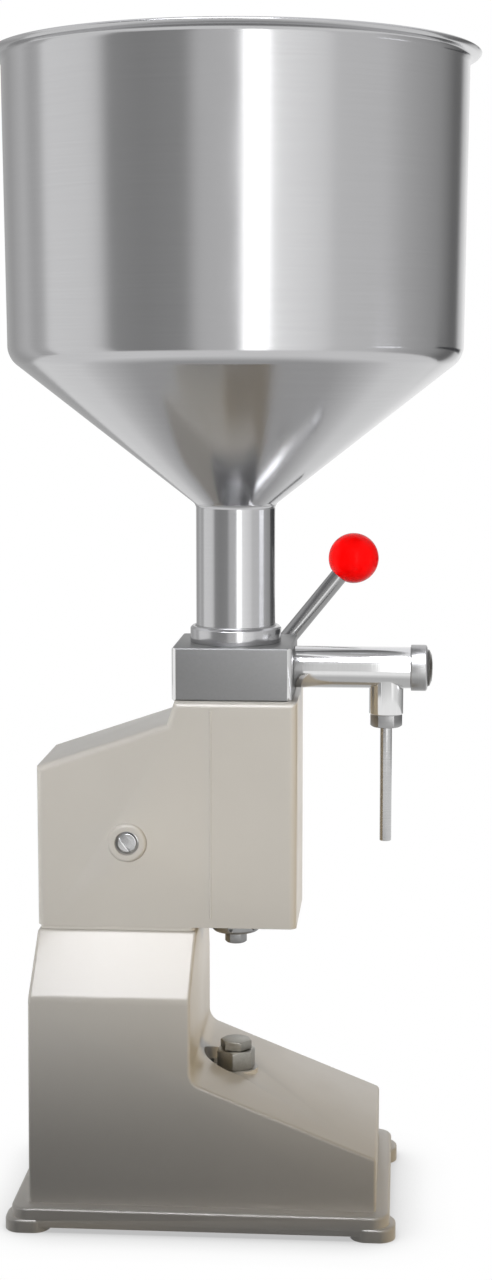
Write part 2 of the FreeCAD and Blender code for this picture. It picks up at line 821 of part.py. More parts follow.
def make_hopper_tube():
    inside = hopper_tube_diameter - 2 * hopper_wall
    outer = [(hopper_tube_diameter, collar_top), (hopper_tube_diameter, tube_top)]
    inner = [(inside, collar_top - overrun), (inside, tube_top + overrun)]
    return faceted(outer, hopper_sides).cut(faceted(inner, hopper_sides)).removeSplitter()


def make_hopper_collar():
    spigot_end = socket_bottom + side_gap
    outer = [(hopper_spigot_diameter, spigot_end), (hopper_spigot_diameter, block_top),
             (collar_diameter, block_top), (collar_diameter, collar_top - collar_chamfer),
             (collar_diameter - 2 * collar_chamfer, collar_top)]
    inner = [(collar_bore, spigot_end - overrun), (collar_bore, collar_top + overrun)]
    return faceted(outer, hopper_sides).cut(faceted(inner, hopper_sides)).removeSplitter()


pieces = {
    "base_casting": make_base_casting,
    "stop_lock_nut": make_stop_lock_nut,
    "stop_bolt": make_stop_bolt,
    "head_casting": make_head_casting,
    "cylinder": make_cylinder,
    "guide_gland": make_guide_gland,
    "valve_block": make_valve_block,
    "inlet_bridge": make_inlet_bridge,
    "inlet_poppet": make_inlet_poppet,
    "inlet_spring": make_inlet_spring,
    "nozzle_arm": make_nozzle_arm,
    "outlet_poppet": make_outlet_poppet,
    "outlet_spring": make_outlet_spring,
    "arm_end_cap": make_arm_end_cap,
    "nozzle_nut": make_nozzle_nut,
    "nozzle_tube": make_nozzle_tube,
    "piston": make_piston,
    "piston_rod": make_piston_rod,
    "rod_nuts": make_rod_nuts,
    "crosshead": make_crosshead,
    "pivot_shaft": make_pivot_shaft,
    "shaft_keys": make_shaft_keys,
    "crank_arm": make_crank_arm,
    "lever_arm": make_lever_arm,
    "shaft_nut": make_shaft_nut,
    "ball_knob": make_ball_knob,
    "hopper_bowl": make_hopper_bowl,
    "hopper_tube": make_hopper_tube,
    "hopper_collar": make_hopper_collar,
}

os.makedirs("parts", exist_ok=True)
for name, make in pieces.items():
    shape = make()
    shape.exportStep(os.path.join("parts", name + ".step"))
    print(name, len(shape.Solids), round(shape.Volume), shape.isValid())
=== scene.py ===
# %% [markdown]
# # Looks for a hand-lever donut filler
#
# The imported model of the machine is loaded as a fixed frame. Every part of it that shows is
# then given its finished shape and its finish. Lengths of the machine are written in
# millimetres, as on a drawing, and `MM` turns them into metres. Floor, lamps and camera are
# placed in metres.

# %% Load the frame
import math

import bmesh
import bpy
from mathutils import Matrix, Vector


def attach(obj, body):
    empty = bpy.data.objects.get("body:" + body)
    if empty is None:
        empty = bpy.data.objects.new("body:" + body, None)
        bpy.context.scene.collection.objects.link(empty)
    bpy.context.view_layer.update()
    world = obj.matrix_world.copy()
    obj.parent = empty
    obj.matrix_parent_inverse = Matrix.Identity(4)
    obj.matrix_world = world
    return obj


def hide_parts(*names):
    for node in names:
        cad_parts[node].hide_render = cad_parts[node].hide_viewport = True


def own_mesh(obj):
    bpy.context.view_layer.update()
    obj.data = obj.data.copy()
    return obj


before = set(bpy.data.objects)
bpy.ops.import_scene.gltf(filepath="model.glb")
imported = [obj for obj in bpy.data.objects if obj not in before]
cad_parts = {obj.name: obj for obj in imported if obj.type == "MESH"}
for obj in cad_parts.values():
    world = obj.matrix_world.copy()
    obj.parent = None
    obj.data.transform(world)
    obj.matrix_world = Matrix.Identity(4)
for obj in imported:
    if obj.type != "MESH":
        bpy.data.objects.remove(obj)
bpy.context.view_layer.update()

# %% [markdown]
# ## Helpers for turned pieces
#
# Most pieces of this machine come off a lathe. In Blender the matching operator is spin: a
# profile of a few points is swept round an axis. A full spin with use_merge closes the seam,
# and points on the axis are merged into one pole. A lathe hand breaks each sharp corner, and
# `round_rings` does the same with a bevel on the ring of edges at that corner.

# %% Turned pieces
MM = 0.001
SAME_POINT = 1e-6  # metres; points closer than this are merged
CLOSE = 0.01       # millimetres; how near a point must be to a stated place
X_AXIS = Vector((1, 0, 0))
Y_AXIS = Vector((0, 1, 0))
Z_AXIS = Vector((0, 0, 1))


def turned(profile, steps=96):
    """Spin a closed profile of (diameter, distance) pairs, in millimetres, about the Z axis."""
    bm = bmesh.new()
    points = [bm.verts.new((d / 2 * MM, 0, z * MM)) for d, z in profile]
    lines = [bm.edges.new(pair) for pair in zip(points, points[1:] + points[:1])]
    bmesh.ops.spin(bm, geom=points + lines, cent=(0, 0, 0), axis=(0, 0, 1),
                   angle=math.tau, steps=steps, use_merge=True)
    bmesh.ops.remove_doubles(bm, verts=bm.verts, dist=SAME_POINT)
    bmesh.ops.recalc_face_normals(bm, faces=bm.faces)
    return bm


def post(diameter, z0, z1, steps=48):
    """Solid round bar about the Z axis, to add to a piece or to drill it with."""
    return turned([(0, z0), (diameter, z0), (diameter, z1), (0, z1)], steps)


def round_edges(bm, edges, width, segments, **options):
    """Bevel edges with a round section; the width is in millimetres."""
    bmesh.ops.bevel(bm, geom=edges, offset=width * MM, segments=segments, profile=0.5,
                    affect="EDGES", material=-1, **options)


def round_rings(bm, rings, segments=3):
    """Round the rings of edges at (diameter, distance, width), all in millimetres."""
    for diameter, distance, width in rings:
        ring = [edge for edge in bm.edges if all(
            abs(v.co.z / MM - distance) < CLOSE
            and abs(v.co.xy.length / MM - diameter / 2) < CLOSE for v in edge.verts)]
        round_edges(bm, ring, width, segments)


def placed(bm, foot, direction=Z_AXIS):
    """Move a piece made about Z so that it starts at foot and runs along direction."""
    aim = Z_AXIS.rotation_difference(direction).to_matrix().to_4x4()
    bmesh.ops.transform(bm, matrix=Matrix.Translation(Vector(foot) * MM) @ aim, verts=bm.verts)
    return bm


# %% [markdown]
# ## Helpers for cast and milled pieces
#
# A casting or a milled block starts as an outline that is extruded, or as a stretched cube, and
# its edges are then rounded with a bevel. Holes and pockets are cut with the Boolean modifier,
# whose result is read back, so no modifier stays on the piece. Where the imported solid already
# has the right shape, a copy of its mesh is cleaned and only its sharp edges are rounded.

# %% Blocks, outlines and cuts
def prism(outline, y0, y1):
    """Extrude an outline of (x, z) points, in millimetres, from y0 to y1."""
    bm = bmesh.new()
    points = [bm.verts.new((x * MM, y0 * MM, z * MM)) for x, z in outline]
    face = bm.faces.new(points)
    grown = bmesh.ops.extrude_face_region(bm, geom=[face])["geom"]
    moved = [g for g in grown if isinstance(g, bmesh.types.BMVert)]
    bmesh.ops.translate(bm, vec=(0, (y1 - y0) * MM, 0), verts=moved)
    bmesh.ops.recalc_face_normals(bm, faces=bm.faces)
    return bm


def block(x0, x1, y0, y1, z0, z1):
    """Box between two corners, in millimetres."""
    bm = bmesh.new()
    size = Vector((x1 - x0, y1 - y0, z1 - z0)) * MM
    middle = Vector((x0 + x1, y0 + y1, z0 + z1)) * MM / 2
    place = Matrix.Translation(middle) @ Matrix.Diagonal((*size, 1))
    bmesh.ops.create_cube(bm, size=1, matrix=place)
    return bm


def bevel_where(bm, test, width, segments):
    """Round the edges for which test(start, end) holds; it gets points in millimetres."""
    chosen = [e for e in bm.edges if test(e.verts[0].co / MM, e.verts[1].co / MM)]
    round_edges(bm, chosen, width, segments)


def bevel_sharp(bm, width, segments=2, angle=25):
    """Round every edge whose faces meet at more than an angle in degrees."""
    chosen = [e for e in bm.edges if e.is_manifold
              and e.calc_face_angle(0) > math.radians(angle)]
    round_edges(bm, chosen, width, segments, clamp_overlap=True)


def linked(name, data):
    """Object for a mesh, a lamp or a camera, linked to the scene."""
    thing = bpy.data.objects.new(name, data)
    bpy.context.scene.collection.objects.link(thing)
    return thing


def carried(bm):
    """Temporary object that holds a mesh for a Boolean modifier."""
    mesh = bpy.data.meshes.new("carried")
    bm.to_mesh(mesh)
    return linked("carried", mesh)


def carve(bm, tools, how="DIFFERENCE"):
    """Cut tools out of a mesh, or join them or keep what they share, with UNION or INTERSECT."""
    body = carried(bm)
    helpers = [carried(tool) for tool in tools]
    for helper in helpers:
        modifier = body.modifiers.new("carve", "BOOLEAN")
        modifier.operation = how
        modifier.solver = "EXACT"
        modifier.object = helper
    depsgraph = bpy.context.evaluated_depsgraph_get()
    result = bpy.data.meshes.new_from_object(body.evaluated_get(depsgraph))
    bm.clear()
    bm.from_mesh(result)
    bpy.data.meshes.remove(result)
    for thing in [body] + helpers:
        bpy.data.meshes.remove(thing.data)
    for tool in tools:
        tool.free()
    bmesh.ops.remove_doubles(bm, verts=bm.verts, dist=SAME_POINT)
    return bm


def joined(bm, *others):
    return carve(bm, list(others), "UNION")


def cleaned_copy(node):
    """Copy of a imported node's mesh with its loose triangles merged into flat faces."""
    bm = bmesh.new()
    bm.from_mesh(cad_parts[node].data)
    bmesh.ops.remove_doubles(bm, verts=bm.verts, dist=SAME_POINT)
    bmesh.ops.dissolve_limit(bm, angle_limit=math.radians(0.5), use_dissolve_boundaries=False,
                             verts=bm.verts, edges=bm.edges, delimit={"NORMAL"})
    return bm


# %% [markdown]
# ## Handing a piece over
#
# `keep` turns a finished bmesh into an object. It is shaded smooth except across edges that
# stay sharp, it rides on a moving body of the machine, and it stands for the imported nodes that
# it replaces.

# %% Keep a piece
def keep(bm, name, material, body, nodes, smooth=32):
    """Object from a bmesh; edges sharper than smooth, in degrees, stay sharp."""
    bmesh.ops.recalc_face_normals(bm, faces=bm.faces)
    mesh = bpy.data.meshes.new(name)
    bm.to_mesh(mesh)
    bm.free()
    mesh.polygons.foreach_set("use_smooth", [True] * len(mesh.polygons))
    mesh.set_sharp_from_angle(angle=math.radians(smooth))
    for item in material if isinstance(material, list) else [material]:
        mesh.materials.append(item)
    piece = linked(name, mesh)
    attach(piece, body)
    if nodes:
        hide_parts(*nodes)
    print(name, "has", len(mesh.polygons), "faces")
    return piece


# %% [markdown]
# ## Shared shader effects
#
# Several finishes share an effect, so each effect is a node group that is built once. A group
# has named inputs and outputs and puts out only masks and normals. `grain_group` makes the
# fine parallel lines that a brush or a turning tool leaves. It stretches a noise by scaling the
# coordinates differently along each axis. `blotch_group` makes the soft uneven patches of
# paint, polish and handling.

# %% Node groups
def new_group(name, inputs, outputs):
    """Node group whose inputs are given as name: value, and its outputs as name: kind."""
    group = bpy.data.node_groups.new(name, "ShaderNodeTree")
    for title, value in inputs.items():
        kind = "NodeSocketVector" if isinstance(value, tuple) else "NodeSocketFloat"
        socket = group.interface.new_socket(title, in_out="INPUT", socket_type=kind)
        socket.default_value = value
    for title, kind in outputs.items():
        group.interface.new_socket(title, in_out="OUTPUT", socket_type=kind)
    return group, group.nodes.new("NodeGroupInput"), group.nodes.new("NodeGroupOutput")


def add_node(nodes, kind, operation=None, **inputs):
    """Shader node with its operation and the values of its inputs; From_Min means From Min."""
    node = nodes.new("ShaderNode" + kind)
    if operation:
        node.operation = operation
    for title, value in inputs.items():
        node.inputs[title.replace("_", " ")].default_value = value
    return node


def grain_group():
    """Fine lines on a piece: a mask of them, and the surface normal that they bend."""
    group, inside, outside = new_group(
        "brushed grain", {"Stretch": (60.0, 60.0, 2500.0), "Depth": 0.1},
        {"Mask": "NodeSocketFloat", "Normal": "NodeSocketVector"})
    nodes, links = group.nodes, group.links
    where = add_node(nodes, "TexCoord")
    stretch = add_node(nodes, "VectorMath", "MULTIPLY")
    links.new(where.outputs["Object"], stretch.inputs[0])
    links.new(inside.outputs["Stretch"], stretch.inputs[1])
    noise = add_node(nodes, "TexNoise", Scale=1.0, Detail=3.0, Roughness=0.65)
    links.new(stretch.outputs[0], noise.inputs["Vector"])
    bump = add_node(nodes, "Bump", Distance=0.4 * MM)
    links.new(noise.outputs["Fac"], bump.inputs["Height"])
    links.new(inside.outputs["Depth"], bump.inputs["Strength"])
    links.new(noise.outputs["Fac"], outside.inputs["Mask"])
    links.new(bump.outputs["Normal"], outside.inputs["Normal"])
    return group


def blotch_group():
    """Soft patches between 0 and 1, as wide as 1 / Scale metres."""
    group, inside, outside = new_group(
        "soft blotches", {"Scale": 12.0, "Low": 0.0, "High": 1.0}, {"Mask": "NodeSocketFloat"})
    nodes, links = group.nodes, group.links
    where = add_node(nodes, "TexCoord")
    noise = add_node(nodes, "TexNoise", Detail=4.0, Roughness=0.55)
    links.new(where.outputs["Object"], noise.inputs["Vector"])
    links.new(inside.outputs["Scale"], noise.inputs["Scale"])
    spread = add_node(nodes, "MapRange", From_Min=0.3, From_Max=0.7)
    links.new(noise.outputs["Fac"], spread.inputs["Value"])
    links.new(inside.outputs["Low"], spread.inputs["To Min"])
    links.new(inside.outputs["High"], spread.inputs["To Max"])
    links.new(spread.outputs["Result"], outside.inputs["Mask"])
    return group


GRAIN = grain_group()
BLOTCH = blotch_group()
print("groups:", GRAIN.name, "and", BLOTCH.name)

# %% [markdown]
# ## Metals
#
# Hopper, block, arm and lever are the same steel in different finishes: spun and brushed,
# ground, polished, or turned and left satin. One function makes them all. What differs is the
# colour, the roughness with its patches, and the direction of the grain. Grain that runs round
# a turned piece comes from a noise that is squeezed along the axis of the piece.

# %% Metal finishes
def linear(value):
    """Screen value from 0 to 1 as the linear light that shaders work in."""
    return value / 12.92 if value <= 0.04045 else ((value + 0.055) / 1.055) ** 2.4


def colour(red, green, blue):
    return (linear(red), linear(green), linear(blue), 1.0)


def grey(level):
    return colour(level, level, level)


def placed_group(material, group, **values):
    """Node in a material that uses a node group, with the values of the group's inputs."""
    node = material.node_tree.nodes.new("ShaderNodeGroup")
    node.node_tree = group
    for title, value in values.items():
        node.inputs[title].default_value = value
    return node


def new_material(name):
    """Material with its shader, and the nodes and links of its tree."""
    material = bpy.data.materials.new(name)
    material.use_nodes = True
    shader = material.node_tree.nodes["Principled BSDF"]
    return material, shader, material.node_tree.nodes, material.node_tree.links


def colour_mix(nodes):
    """Mix node for colours. The data type comes first: it decides what inputs A and B are."""
    mix = nodes.new("ShaderNodeMix")
    mix.data_type = "RGBA"
    return mix


def two_tone(material, mask, dark, light):
    """Mix of two colours by a mask."""
    mix = colour_mix(material.node_tree.nodes)
    mix.inputs["A"].default_value = dark
    mix.inputs["B"].default_value = light
    material.node_tree.links.new(mask, mix.inputs["Factor"])
    return mix.outputs["Result"]


def metal(name, dark, light, smooth, rough, stretch, depth, patch=14.0):
    """Metal between two colours and two roughnesses, in patches 1 / patch metres wide."""
    material, shader, nodes, links = new_material(name)
    grain = placed_group(material, GRAIN, Stretch=stretch, Depth=depth)
    patches = placed_group(material, BLOTCH, Scale=patch, Low=smooth, High=rough)
    shader.inputs["Metallic"].default_value = 1.0
    tone = two_tone(material, grain.outputs["Mask"], dark, light)
    links.new(tone, shader.inputs["Base Color"])
    links.new(patches.outputs["Mask"], shader.inputs["Roughness"])
    links.new(grain.outputs["Normal"], shader.inputs["Normal"])
    return material


ALONG, ACROSS = 14.0, 2600.0  # noise scale along the lines of a grain and across them
AROUND_X = (ACROSS, ALONG, ALONG)
AROUND_Y = (ALONG, ACROSS, ALONG)
AROUND_Z = (ALONG, ALONG, ACROSS)
NO_WAY = (500.0, 500.0, 500.0)  # fine grain without a direction

spun_steel = metal("spun hopper steel", colour(0.74, 0.74, 0.745), colour(0.78, 0.78, 0.785),
                   0.12, 0.18, AROUND_Z, 0.03)
ground_steel = metal("ground block steel", grey(0.54), grey(0.57), 0.4, 0.46, NO_WAY, 0.05)
arm_steel = metal("polished arm steel", grey(0.87), grey(0.93), 0.08, 0.12, AROUND_X, 0.04)
rod_steel = metal("polished rod steel", grey(0.7), grey(0.82), 0.12, 0.18, AROUND_Z, 0.05)
lever_steel = metal("drawn lever steel", grey(0.55), grey(0.63), 0.16, 0.22, AROUND_Z, 0.05)
shaft_steel = metal("turned shaft steel", grey(0.7), grey(0.82), 0.16, 0.24, AROUND_Y, 0.08)
satin_steel = metal("satin turned steel", grey(0.6), grey(0.7), 0.26, 0.34, AROUND_Z, 0.08)
satin_cap_steel = metal("satin cap steel", grey(0.68), grey(0.78), 0.28, 0.36, AROUND_X, 0.1)
dark_steel = metal("zinc plated steel", colour(0.56, 0.55, 0.52), colour(0.65, 0.64, 0.61),
                   0.32, 0.42, NO_WAY, 0.05, 60.0)
plain_steel = metal("machined steel", grey(0.5), grey(0.66), 0.25, 0.36, AROUND_Z, 0.1)
bronze = metal("machined bronze", colour(0.62, 0.46, 0.26), colour(0.76, 0.6, 0.36),
               0.25, 0.36, AROUND_Z, 0.1)
print("metal finishes made")

# %% [markdown]
# ## Enamel on the castings
#
# The castings are sprayed with a warm grey enamel over a filler. Real enamel is never flat: it
# has a faint orange peel, slightly uneven colour and a soft gloss that changes from patch to
# patch. The peel is a small noise in the bump, and the patches drive colour and roughness.

# %% Enamel
def enamel(name, dark, light):
    material, shader, nodes, links = new_material(name)
    patches = placed_group(material, BLOTCH, Scale=9.0, Low=0.0, High=1.0)
    gloss = placed_group(material, BLOTCH, Scale=30.0, Low=0.3, High=0.38)
    links.new(two_tone(material, patches.outputs["Mask"], dark, light),
              shader.inputs["Base Color"])
    links.new(gloss.outputs["Mask"], shader.inputs["Roughness"])
    where = add_node(nodes, "TexCoord")
    peel = add_node(nodes, "TexNoise", Scale=700.0, Detail=2.0)
    links.new(where.outputs["Object"], peel.inputs["Vector"])
    bump = add_node(nodes, "Bump", Strength=0.05, Distance=0.3 * MM)
    links.new(peel.outputs["Fac"], bump.inputs["Height"])
    links.new(bump.outputs["Normal"], shader.inputs["Normal"])
    shader.inputs["Coat Weight"].default_value = 0.35
    shader.inputs["Coat Roughness"].default_value = 0.1
    return material


cast_enamel = enamel("warm grey enamel", colour(0.72, 0.705, 0.68), colour(0.74, 0.725, 0.7))
print(cast_enamel.name, "made")

# %% [markdown]
# ## Plastics
#
# The ball is moulded in bright red thermoset. Strong highlights would wash out its red, so its
# specular level is low. The piston and the valve discs are turned from white food-safe plastic,
# which is matt and shows fine tool lines. The piston's seal ring is black rubber.

# %% Plastics
def plastic(name, dark, light, low, high, stretch, depth, coat):
    material, shader, nodes, links = new_material(name)
    grain = placed_group(material, GRAIN, Stretch=stretch, Depth=depth)
    patches = placed_group(material, BLOTCH, Scale=40.0, Low=low, High=high)
    links.new(two_tone(material, grain.outputs["Mask"], dark, light),
              shader.inputs["Base Color"])
    links.new(patches.outputs["Mask"], shader.inputs["Roughness"])
    links.new(grain.outputs["Normal"], shader.inputs["Normal"])
    shader.inputs["Coat Weight"].default_value = coat
    shader.inputs["Coat Roughness"].default_value = 0.04
    return material


ball_red = plastic("glossy red knob", colour(0.97, 0.0, 0.0), colour(1.0, 0.01, 0.01),
                   0.1, 0.16, (220.0, 220.0, 220.0), 0.01, 0.0)
ball_red.node_tree.nodes["Principled BSDF"].inputs["Specular IOR Level"].default_value = 0.08
valve_white = plastic("white valve plastic", colour(0.84, 0.84, 0.82), colour(0.92, 0.92, 0.9),
                      0.35, 0.45, AROUND_Z, 0.08, 0.0)
cap_dark = plastic("dark cap button", grey(0.2), grey(0.3), 0.2, 0.3, AROUND_X, 0.05, 0.3)
rubber = plastic("black seal rubber", grey(0.1), grey(0.16), 0.5, 0.6, AROUND_Z, 0.05, 0.0)
print("plastics made")

# %% [markdown]
# ## Hopper
#
# The hopper is spun from one sheet of steel, 1.5 mm thick: a slightly tapering wall, a rounded
# corner and a cone. Its rim flares out and ends in a thin bead. The outlet tube is welded on.
# One profile gives the outside, the bead and the inside of bowl and tube. The bead gets its
# round section from bevels on its three corners.

# %% Hopper bowl
TUBE = 53                        # outside diameters: tube, foot and top of the tapering wall
BOWL_FOOT, BOWL_TOP = 300.4, 304.4
COLLAR_TOP, CONE_FOOT, CONE_TOP, RIM_FOOT = 396, 477, 574, 762.5
WALLS = 3.0                      # two sheet thicknesses, the step from outside to inside


def hopper():
    inner_top, inner_foot, inner_tube = BOWL_TOP - WALLS, BOWL_FOOT - WALLS, TUBE - WALLS
    bm = turned([
        (TUBE, COLLAR_TOP), (TUBE, CONE_FOOT), (BOWL_FOOT, CONE_TOP), (BOWL_TOP, RIM_FOOT),
        (307, 765.4), (316, 766.4), (320, 768.6), (316, 770), (309, 769), (inner_top, 762),
        (inner_foot, 575), (inner_tube, 478), (inner_tube, COLLAR_TOP)], 160)
    round_rings(bm, [(316, 766.4, 0.8), (320, 768.6, 0.6), (316, 770, 0.8)])
    round_rings(bm, [(BOWL_FOOT, CONE_TOP, 7), (inner_foot, 575, 6), (TUBE, CONE_FOOT, 2.5),
                     (inner_tube, 478, 3), (BOWL_TOP, RIM_FOOT, 1.2), (307, 765.4, 0.8),
                     (inner_top, 762, 2)], 6)
    return bm


keep(hopper(), "hopper_spun", spun_steel, "hopper", ["hopper_bowl", "hopper_tube"],
     40)

# %% [markdown]
# ## Six-sided pieces
#
# Nuts and bolt heads start as a six-sided prism: a circle of six points, extruded. The
# turning tool that faces a nut also takes off the tips of its corners. Intersecting the prism
# with a turned disc whose edges slope at 30 degrees gives the same arcs on the flats.

# %% Crowned hexagon
def hexagon(flats, z0, z1, crown=1.0, crown_below=0.0, turn=0.0):
    """Six-sided bar with crowned ends, about the Z axis."""
    bm = bmesh.new()
    corner = flats / math.sqrt(3)
    made = bmesh.ops.create_circle(bm, cap_ends=True, radius=corner * MM, segments=6)
    bmesh.ops.transform(bm, matrix=Matrix.Translation((0, 0, z0 * MM))
                        @ Matrix.Rotation(math.radians(turn + 30), 4, "Z"), verts=made["verts"])
    grown = bmesh.ops.extrude_face_region(bm, geom=list(bm.faces))["geom"]
    bmesh.ops.translate(bm, vec=(0, 0, (z1 - z0) * MM),
                        verts=[g for g in grown if isinstance(g, bmesh.types.BMVert)])
    bmesh.ops.recalc_face_normals(bm, faces=bm.faces)
    reach = corner * 1.03  # radius of the disc, clear of the corners
    skin = 0.01            # the disc cuts just below the end faces
    drop = (reach - flats / 2) * 2 * math.tan(math.radians(30))
    wide, narrow = 2 * reach, flats - 0.4
    low = (narrow, z0 + skin), (wide, z0 + skin + drop * crown_below / 2)
    high = (wide, z1 - skin - drop * crown / 2), (narrow, z1 - skin)
    if not crown_below:
        low = ((wide, z0 - 1),)
    if not crown:
        high = ((wide, z1 + 1),)
    disc = turned([(0, low[0][1]), *low, *high, (0, high[-1][1])], 96)
    return carve(bm, [disc], "INTERSECT")


# %% [markdown]
# ## Hopper collar
#
# The collar is turned from bar. Its spigot stands in the valve block and its wide ring rests on
# it. The ring has a chamfer above, and a weld bead joins it to the tube.

# %% Collar
def collar():
    bm = turned([(32, 377.4), (40, 377.4), (40, 385), (61, 385), (61, 394.5), (58, COLLAR_TOP),
                 (32, COLLAR_TOP)], 128)
    round_rings(bm, [(40, 377.4, 0.6), (61, 385, 0.4), (61, 394.5, 0.3), (58, COLLAR_TOP, 0.3)])
    return bm


keep(collar(), "collar_turned", spun_steel, "hopper", ["hopper_collar"], 40)

# %% [markdown]
# A weld bead is a thin torus: a circle, made by `create_circle`, is spun round the tube. One
# bead lies on the collar and one at the foot of the cone.

# %% Weld beads
def bead(diameter, level, thickness):
    """Torus about the Z axis, measured between the centres of its section."""
    bm = bmesh.new()
    place = Matrix.Translation((diameter / 2 * MM, 0, level * MM)) @ Matrix.Rotation(
        math.radians(90), 4, "X")
    bmesh.ops.create_circle(bm, radius=thickness / 2 * MM, segments=10, matrix=place)
    bmesh.ops.spin(bm, geom=bm.verts[:] + bm.edges[:], cent=(0, 0, 0), axis=(0, 0, 1),
                   angle=math.tau, steps=120, use_merge=True)
    bmesh.ops.recalc_face_normals(bm, faces=bm.faces)
    return bm


keep(bead(TUBE + 0.4, COLLAR_TOP - 0.2, 1.6), "collar_weld", satin_steel, "hopper", [],
     60)
keep(bead(TUBE + 0.2, CONE_FOOT + 0.2, 1.4), "cone_weld", satin_steel, "hopper", [],
     60)

# %% [markdown]
# ## Valve block
#
# The block is sawn from a square bar and ground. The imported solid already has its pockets, so a
# cleaned copy of it is used. Its upright edges are milled off at 45 degrees and left bright.

# %% Valve block
EDGE_REACH = 53.9  # from the block's axis to the flats that replace its edges


def softened(node, width):
    """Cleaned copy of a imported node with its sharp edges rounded."""
    bm = cleaned_copy(node)
    bevel_sharp(bm, width)
    return bm


def valve_block():
    bm = cleaned_copy("valve_block")
    wedges = []
    for quarter in range(4):
        wedge = block(EDGE_REACH, 70, -20, 20, 340, 400)
        turn = Matrix.Rotation(math.radians(45 + 90 * quarter), 4, "Z")
        bmesh.ops.transform(wedge, matrix=turn, verts=wedge.verts)
        wedges.append(wedge)
    carve(bm, wedges)
    bevel_sharp(bm, 0.25)
    for face in bm.faces:
        way = face.normal
        if abs(abs(way.x) - abs(way.y)) < 0.02 and abs(way.z) < 0.02:
            face.material_index = 1
    return bm


keep(valve_block(), "block_ground", [ground_steel, arm_steel], "stand", ["valve_block"])

# %% [markdown]
# ## Nozzle arm
#
# The arm is a turned tube with a short tee welded below it. Both are spins, joined by a Boolean
# union and drilled through afterwards, as in the workshop.

# %% Nozzle arm
ARM_LEVEL, ARM_END, ARM_SIZE = 368, 117.8, 28
NOZZLE_X, NOZZLE_SIZE, NOZZLE_BORE = 101.5, 8, 6.5
TEE_FOOT, TEE_SIZE = 336.7, 23


def along_x(bm, x=0.0):
    """Lay a piece made about Z along the arm's axis, starting at x."""
    return placed(bm, (x, 0, ARM_LEVEL), X_AXIS)


def over_nozzle(bm):
    """Move a piece made about Z to the nozzle's axis."""
    return placed(bm, (NOZZLE_X, 0, 0))


def nozzle_arm():
    bm = turned([(0, 29.6), (22, 29.6), (22, 39.5), (ARM_SIZE, 39.5), (ARM_SIZE, ARM_END),
                 (0, ARM_END)], 128)
    round_rings(bm, [(ARM_SIZE, 39.5, 0.6), (ARM_SIZE, ARM_END, 0.5)])
    along_x(bm)
    tee = post(TEE_SIZE, TEE_FOOT, 366, 96)
    round_rings(tee, [(TEE_SIZE, TEE_FOOT, 0.8)])
    joined(bm, over_nozzle(tee))
    flow = along_x(turned([(0, 20), (14, 20), (14, 76), (20, 76), (20, 130), (0, 130)], 96))
    drop = turned([(0, 330), (NOZZLE_SIZE + 0.1, 330), (NOZZLE_SIZE + 0.1, 346.7),
                   (NOZZLE_BORE, 346.7), (NOZZLE_BORE, 366), (0, 366)], 64)
    return carve(bm, [flow, over_nozzle(drop)])


keep(nozzle_arm(), "arm_turned", arm_steel, "stand", ["nozzle_arm"], 40)

# %% [markdown]
# ## End cap, nozzle nut and nozzle
#
# The cap is a satin ring with a dark domed button in its end, so it has two materials: faces
# beyond the ring's front get the second one. The nut is crowned below. The nozzle is a plain
# drawn tube with its open end deburred.

# %% End cap
BUTTON_FOOT, BUTTON_RADIUS = 128.2, 12.9


def end_cap():
    bm = turned([(0, 110), (19.9, 110), (19.9, ARM_END), (31, ARM_END), (31, 128), (26.5, 128.9),
                 (25.5, BUTTON_FOOT), (24, 130.2), (17, 131.7), (8, 132.2), (0, 132.3)], 96)
    round_rings(bm, [(31, ARM_END, 0.5), (31, 128, 0.8), (26.5, 128.9, 0.3)])
    along_x(bm)
    for face in bm.faces:
        middle = face.calc_center_median() / MM
        off_axis = math.hypot(middle.y, middle.z - ARM_LEVEL)
        if middle.x > BUTTON_FOOT and off_axis < BUTTON_RADIUS:
            face.material_index = 1
    return bm


keep(end_cap(), "cap_turned", [satin_cap_steel, cap_dark], "stand", ["arm_end_cap"],
     40)

# %% Nozzle nut and nozzle
def nozzle_nut():
    bm = hexagon(18.6, 328.05, TEE_FOOT, 0.0, 1.0)
    carve(bm, [post(NOZZLE_SIZE + 0.02, 320, 340, 64)])
    bevel_sharp(bm, 0.15, 2, 40)
    return over_nozzle(bm)


def nozzle():
    bm = turned([(NOZZLE_BORE, 250), (NOZZLE_SIZE, 250), (NOZZLE_SIZE, 346.7),
                 (NOZZLE_BORE, 346.7)], 64)
    round_rings(bm, [(NOZZLE_SIZE, 250, 0.3), (NOZZLE_BORE, 250, 0.3)])
    return over_nozzle(bm)


keep(nozzle_nut(), "nozzle_hex", satin_steel, "stand", ["nozzle_nut"])
keep(nozzle(), "nozzle_drawn", rod_steel, "stand", ["nozzle_tube"], 50)

# %% [markdown]
# ## Head casting
#
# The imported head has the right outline, its round side edges, the bosses and the hollow, so a
# cleaned copy is used and its remaining edges are rounded. The mould was made in two halves,
# which left a fine seam on the near side: a low rounded rib.

# %% Head casting
PIVOT = Vector((-68.9, 0, 255.2))
BOSS_FACE, BOSS_RADIUS = -47.5, 13
SEAM_FACE = -44.5


def on_boss(point):
    """Whether a point lies on the rim of the near boss, round the shaft."""
    radius = math.hypot(point.x - PIVOT.x, point.z - PIVOT.z)
    return abs(point.y - BOSS_FACE) < 0.05 and abs(radius - BOSS_RADIUS) < 0.2


def head():
    bm = cleaned_copy("head_casting")
    bevel_where(bm, lambda a, b: on_boss(a) and on_boss(b), 2.6, 5)
    bevel_sharp(bm, 0.9, 3, 27)
    return bm


keep(head(), "head_cast", cast_enamel, "stand", ["head_casting"])


